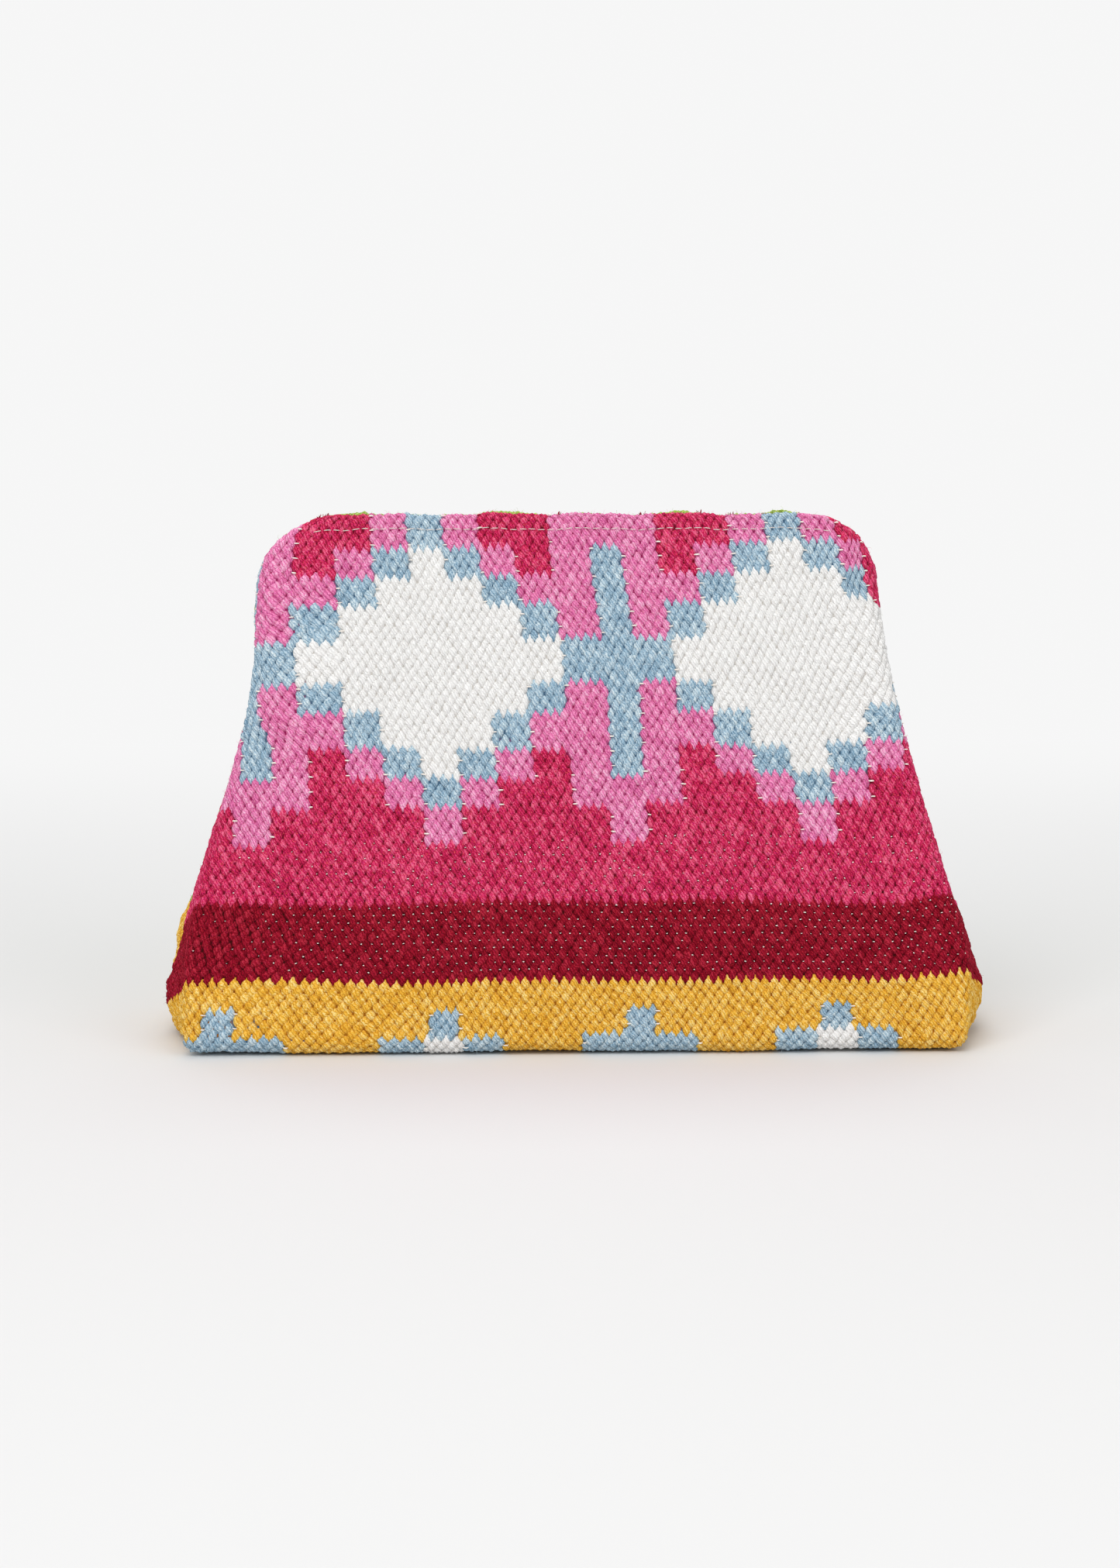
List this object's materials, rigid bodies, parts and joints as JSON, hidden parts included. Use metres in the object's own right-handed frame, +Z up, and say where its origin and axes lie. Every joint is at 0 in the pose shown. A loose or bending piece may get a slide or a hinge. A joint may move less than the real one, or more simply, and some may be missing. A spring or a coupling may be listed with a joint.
{
  "type": "clutch bag",
  "caption": "Upright trapezoid clutch bag of flat-woven wool with a boxed base, rounded top corners, a cotton lining and a zip that lies below the top edge.",
  "frame": {"origin": "under the middle of the base, on the surface that the bag stands on", "axes": "+X along the width, +Y from the front to the back, +Z up"},
  "size_m": [0.3232, 0.0864, 0.206],
  "materials": {
    "wool": "coarse flat weave in stepped fields of cream, blue, pink, crimson, burgundy, mustard and green",
    "cotton": "plain woven cotton",
    "zip_tape": "woven tape",
    "brass": "satin"
  },
  "bodies": {
    "bag": {"woven_shell": "wool", "lining": "cotton", "zip_tape_front": "zip_tape", "zip_tape_back": "zip_tape", "zip_teeth_front": "brass", "zip_teeth_back": "brass", "zip_top_stop_front": "brass", "zip_top_stop_back": "brass", "zip_bottom_stop": "brass"},
    "slider": {"zip_slider": "brass"},
    "pull": {"zip_pull_tab": "brass"}
  },
  "joints": [
    {"name": "zip_slide", "type": "slide", "parent": "bag", "child": "slider", "axis": [-1, 0, 0], "range_m": [0, 0.139]},
    {"name": "pull_swing", "type": "hinge", "parent": "slider", "child": "pull", "pos_m": [0.0749, 0, 0.20295], "axis": [0, 1, 0], "range_deg": [0, 150]}
  ]
}
